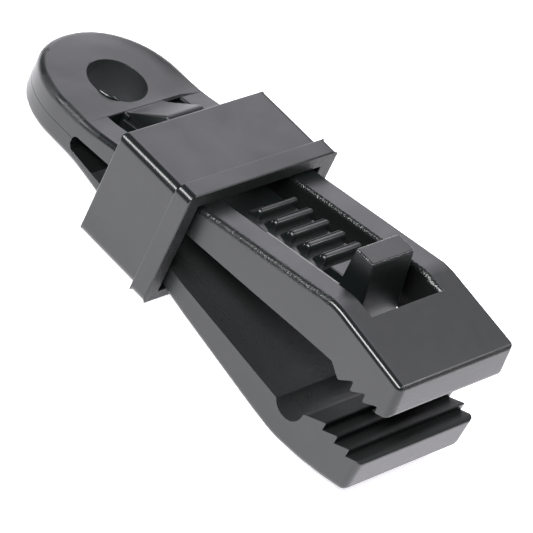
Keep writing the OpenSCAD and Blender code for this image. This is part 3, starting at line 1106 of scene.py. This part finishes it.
def floor_white():
    """White that stays white to the camera, and that lights the clip less further out and in front."""
    mat = bpy.data.materials.new("white_sweep")
    mat.use_nodes = True
    t = mat.node_tree
    shader = t.nodes["Principled BSDF"].inputs
    shader["Roughness"].default_value = 0.9
    shader["Emission Color"].default_value = (1.0, 0.975, 1.03, 1)
    where = node(t, "ShaderNodeTexCoord").outputs["Object"]
    far = node(t, "ShaderNodeVectorMath", [(0, where)], operation="LENGTH").outputs["Value"]
    in_front = ramp(t, axes(t, where)["Y"], -0.17, -0.065, 0.1, 1.0)
    fade = times(t, in_front, ramp(t, far, 0.105, 0.24, 1.0, 0.35))
    pale = node(t, "ShaderNodeMix", [("Factor", fade), ("A", (0, 0, 0, 1)), ("B", colour(FLOOR_WHITE))],
                data_type="RGBA")
    t.links.new(pale.outputs["Result"], shader["Base Color"])
    seen = node(t, "ShaderNodeLightPath").outputs["Is Camera Ray"]
    glow = node(t, "ShaderNodeMix", [("Factor", seen), ("A", times(t, fade, FLOOR_GLOW)),
                                     ("B", ramp(t, far, 0.08, 0.4, 0.74, 1.1))])
    t.links.new(glow.outputs["Result"], shader["Emission Strength"])
    return mat


floor = make_floor()
floor.data.materials.append(floor_white())


# Dim room with a long bright band behind the clip, which leans down to the horizon at the left

BAND_ACROSS = (-0.608, -0.635, 0.475)
BAND_LEFT = (-0.62, 0.72, 0.30)
BAND_LIGHT = 2.38
ROOM_LIGHT = 0.20
ROOM_TINT = (1.015, 0.985, 1.06)


def light_room():
    """World that gives the band and the dim light around it."""
    world = bpy.data.worlds.new("studio")
    bpy.context.scene.world = world
    world.use_nodes = True
    t = world.node_tree
    ray = node(t, "ShaderNodeTexCoord").outputs["Generated"]

    def toward(way):
        return vector_math(t, "DOT_PRODUCT", ray, Vector(way).normalized(), "Value")

    beside = toward(BAND_ACROSS)
    band = times(t, ramp(t, beside, -0.13, 0.055), ramp(t, beside, 0.48, 0.20))
    band = times(t, band, ramp(t, toward(BAND_LEFT), 0.45, 0.99))
    background = t.nodes["Background"].inputs
    t.links.new(calc(t, "MULTIPLY_ADD", band, BAND_LIGHT, ROOM_LIGHT), background["Strength"])
    background["Color"].default_value = colour(ROOM_TINT)


# Lamps, placed in metres and aimed at the middle of the clip

AIM = Vector((0.045, 0, 0))


def softbox(name, way, far, size, power, height=None):
    """Square lamp, or a flat one where a height is given."""
    lamp = bpy.data.lights.new(name, "AREA")
    lamp.size = size
    if height:
        lamp.shape = "RECTANGLE"
        lamp.size_y = height
    lamp.energy = power
    obj = bpy.data.objects.new(name, lamp)
    bpy.context.scene.collection.objects.link(obj)
    spot = AIM + Vector(way).normalized() * far
    obj.matrix_world = Matrix.Translation(spot) @ (AIM - spot).to_track_quat("-Z", "Y").to_matrix().to_4x4()
    return obj


light_room()
softbox("key", (-0.07, -0.69, 0.70), far=1.2, size=1.1, power=24, height=0.32)
softbox("back", (0.463, 0.52, 0.697), far=0.172, size=0.05, power=0.07)
softbox("top", (0.45, 0.15, 0.88), far=1.2, size=0.40, power=4)


# Camera, as measured on the photograph

CAMERA_RIGHT = Vector((0.64750518, 0.67062271, 0.36194229))
CAMERA_UP = Vector((-0.64816937, 0.23487645, 0.72436836))
CAMERA_VIEW = Vector((-0.40076615, 0.70363218, -0.58676081))
CAMERA_PLACE = (0.38004, -0.57943, 0.48274)
CAMERA_SENSOR = 36
CAMERA_LENS = 288.98
CAMERA_SHIFT = (-0.01268, -0.00491)
CAMERA_RANGE = (0.05, 10)


def place_camera():
    """Long lens on the near side, beyond the tips and well above them."""
    camera = bpy.data.cameras.new("camera")
    camera.sensor_width = CAMERA_SENSOR
    camera.lens = CAMERA_LENS
    camera.shift_x, camera.shift_y = CAMERA_SHIFT
    camera.clip_start, camera.clip_end = CAMERA_RANGE
    eye = bpy.data.objects.new("camera", camera)
    bpy.context.scene.collection.objects.link(eye)
    turn = Matrix((CAMERA_RIGHT, CAMERA_UP, -CAMERA_VIEW)).transposed().to_4x4()
    eye.matrix_world = Matrix.Translation(CAMERA_PLACE) @ turn
    bpy.context.scene.camera = eye


place_camera()
bpy.context.scene.view_settings.view_transform = "Standard"
